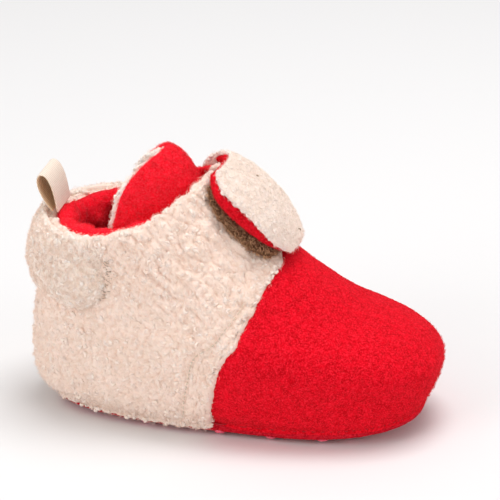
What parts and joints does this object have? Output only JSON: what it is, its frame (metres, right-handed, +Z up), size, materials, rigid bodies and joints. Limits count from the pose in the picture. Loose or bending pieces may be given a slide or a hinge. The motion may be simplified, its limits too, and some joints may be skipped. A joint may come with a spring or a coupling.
{
  "type": "baby bootie",
  "caption": "Soft baby bootie for the right foot with a felt toe, pile sides, a wrap-over strap, a tongue and a heel pull loop.",
  "frame": {"origin": "on the floor under the middle of the sole, at the bottom centre of the bounding box", "axes": "+X from heel to toe, -Y towards the outer (lateral) side of the foot, +Z up"},
  "size_m": [0.1215, 0.0606, 0.0797],
  "materials": {
    "pile": "curly pile",
    "pile_flap": "short soft pile",
    "felt": "felted fleece",
    "lining": "brushed fleece",
    "wadding": "soft",
    "foam": "matt",
    "counter": "matt",
    "elastic": "ribbed",
    "ribbon": "twill",
    "hook": "hooked",
    "sole_fabric": "woven",
    "silicone": "soft satin",
    "thread": "spun",
    "red_thread": "spun"
  },
  "bodies": {
    "upper": {"outsole": "sole_fabric", "grip_dots": "silicone", "insole_foam": "foam", "sock_liner": "lining", "toe_vamp": "felt", "vamp_padding": "wadding", "vamp_lining": "lining", "lateral_quarter": "pile", "medial_quarter": "pile", "lateral_lining": "lining", "medial_lining": "lining", "heel_counter": "counter", "ankle_elastic": "elastic", "heel_cuff": "pile", "heel_seam_tape": "lining", "sole_seam_thread": "red_thread", "vamp_topstitch": "thread", "elastic_tacks": "thread"},
    "strap": {"closure_flap": "pile_flap", "flap_lining": "felt", "hook_tape": "hook", "flap_stitches": "thread"},
    "tongue": {"tongue_outer": "felt", "tongue_padding": "wadding", "tongue_lining": "pile"},
    "pull_loop": {"heel_loop": "ribbon"}
  },
  "joints": [
    {"name": "strap_open", "type": "hinge", "parent": "upper", "child": "strap", "pos_m": [0.01069, 0.01683, 0.05238], "axis": [-0.6751, -0.0974, 0.7312], "range_deg": [0, 115]},
    {"name": "tongue_tip", "type": "hinge", "parent": "upper", "child": "tongue", "pos_m": [0.0115, 0, 0.041], "axis": [0, -1, 0], "range_deg": [0, 20]},
    {"name": "loop_flop", "type": "hinge", "parent": "upper", "child": "pull_loop", "pos_m": [-0.051, 0, 0.0589], "axis": [0, 1, 0], "range_deg": [-35, 45]}
  ]
}
